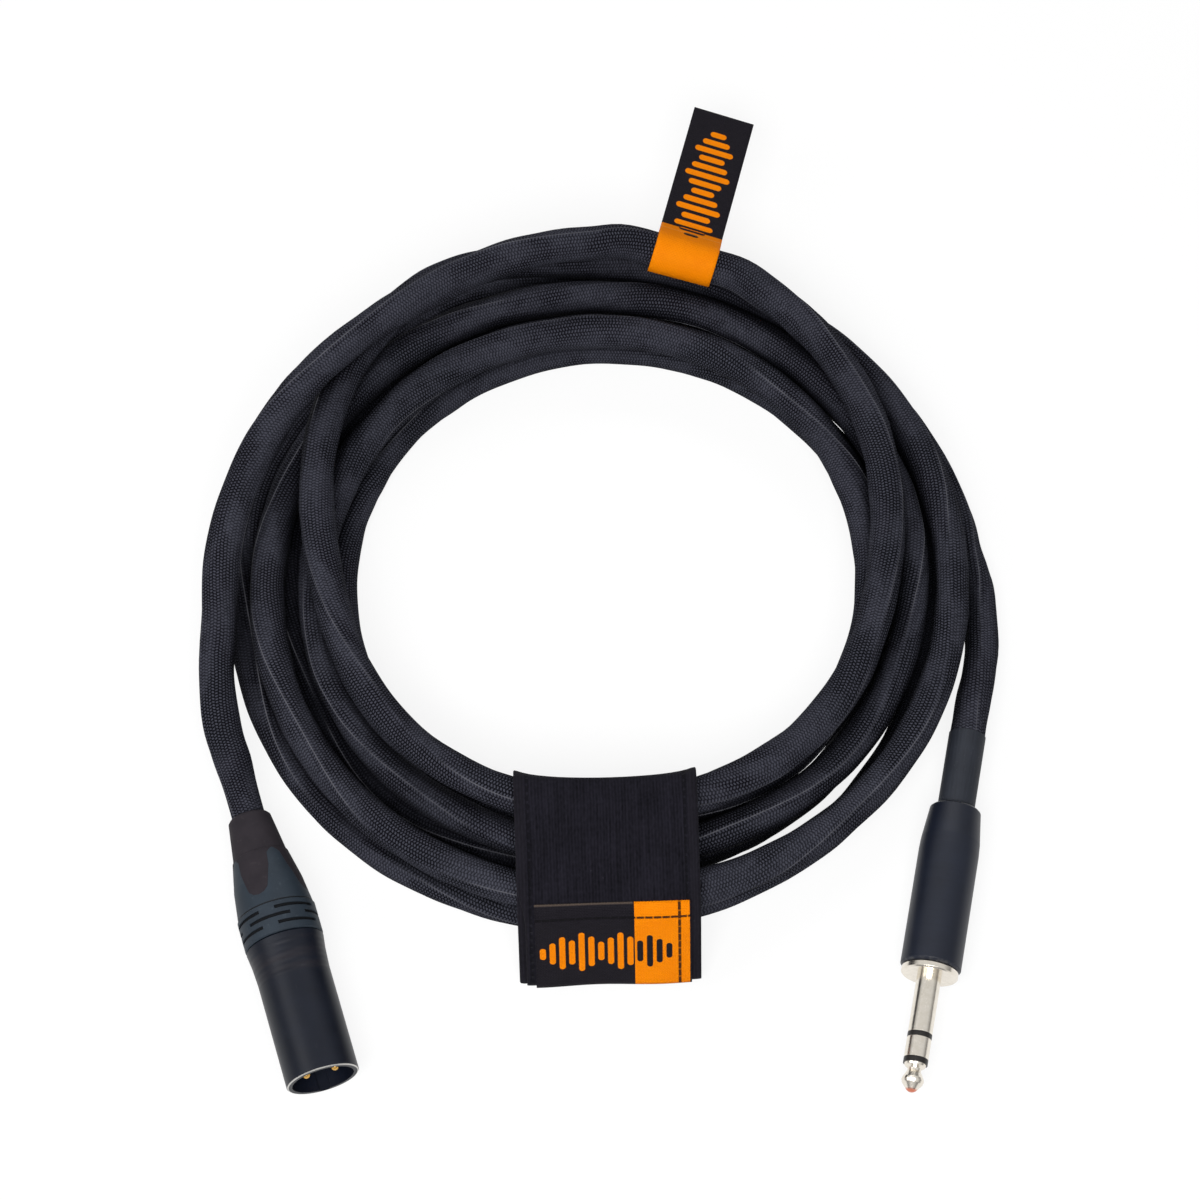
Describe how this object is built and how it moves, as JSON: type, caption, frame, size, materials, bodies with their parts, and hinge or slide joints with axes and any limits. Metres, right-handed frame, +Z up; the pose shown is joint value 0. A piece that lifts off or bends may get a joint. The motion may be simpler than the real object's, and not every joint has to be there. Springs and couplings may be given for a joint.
{
  "type": "audio cable coil",
  "caption": "Textile-sleeved balanced audio cable with an XLR male plug and a three-pole jack plug, coiled, with a hook-and-loop tie and a flag label.",
  "frame": {"origin": "middle of the coil, on the surface that the coil lies on", "axes": "+Z up out of the coil, -Y towards the two plugs, +X towards the jack plug's side"},
  "size_m": [0.217, 0.2834, 0.0379],
  "materials": {
    "sleeve": "woven textile sleeve",
    "strap": "short pile",
    "hook": "hook tape",
    "label": "woven label",
    "shell": "black gloss lacquer",
    "bushing": "satin",
    "boot": "matt",
    "insert": "matt",
    "contact": "gold plated",
    "spring": "plain",
    "chuck": "matt",
    "cable_core": "matt",
    "wire": "plain",
    "nickel": "bright nickel",
    "band": "gloss",
    "terminal_base": "matt",
    "barrel": "black satin lacquer",
    "liner": "plain",
    "shrink": "satin"
  },
  "bodies": {
    "cable": {"cord_coil": "sleeve", "xlr_lead": "sleeve", "jack_lead": "sleeve", "tie_strap": "strap", "xlr_shell": "shell", "xlr_insert": "insert", "xlr_pin_1": "contact", "xlr_pin_2": "contact", "xlr_pin_3": "contact", "xlr_ground_spring": "spring", "xlr_cable_core": "cable_core", "xlr_wires": "wire", "jack_tip": "nickel", "jack_tip_insulator": "band", "jack_ring": "nickel", "jack_ring_insulator": "band", "jack_sleeve": "nickel", "jack_core_insulator": "terminal_base", "jack_terminals": "contact", "jack_clamp": "nickel", "jack_heatshrink": "shrink", "jack_cable_core": "cable_core", "jack_wires": "wire"},
    "tie_flap": {"tie_flap": "strap", "tie_hook_pad": "hook", "tie_label_patch": "label"},
    "flag": {"flag_label": "label"},
    "xlr_grip": {"xlr_chuck": "chuck"},
    "xlr_nut": {"xlr_bushing": "bushing", "xlr_boot": "boot"},
    "jack_guard": {"jack_liner": "liner"},
    "jack_cover": {"jack_barrel": "barrel"}
  },
  "joints": [
    {"name": "tie_flap_open", "type": "hinge", "parent": "cable", "child": "tie_flap", "pos_m": [0.00232, -0.06643, 0.03475], "axis": [-0.9994, -0.0349, 0], "range_deg": [0, 150]},
    {"name": "flag_swing", "type": "hinge", "parent": "cable", "child": "flag", "pos_m": [0.02439, 0.09308, 0.0267], "axis": [0.9586, -0.2463, -0.1427], "range_deg": [-5, 120]},
    {"name": "xlr_grip_slide", "type": "slide", "parent": "cable", "child": "xlr_grip", "axis": [-0.2907, 0.9568, 0], "range_m": [0, 0.0045]},
    {"name": "xlr_nut_turn", "type": "hinge", "parent": "xlr_grip", "child": "xlr_nut", "pos_m": [-0.0909, -0.0666, 0.01035], "axis": [-0.2907, 0.9568, 0], "range_deg": [0, 1620]},
    {"name": "jack_guard_slide", "type": "slide", "parent": "cable", "child": "jack_guard", "axis": [0.1857, 0.9826, 0], "range_m": [0, 0.005]},
    {"name": "jack_cover_turn", "type": "hinge", "parent": "jack_guard", "child": "jack_cover", "pos_m": [0.0946, -0.0632, 0.0079], "axis": [0.1857, 0.9826, 0], "range_deg": [0, 1800]}
  ],
  "couplings": [
    {"joint": "xlr_nut_turn", "follows": "xlr_grip_slide", "rad_per_m": 6283.2},
    {"joint": "jack_cover_turn", "follows": "jack_guard_slide", "rad_per_m": 6283.2}
  ]
}
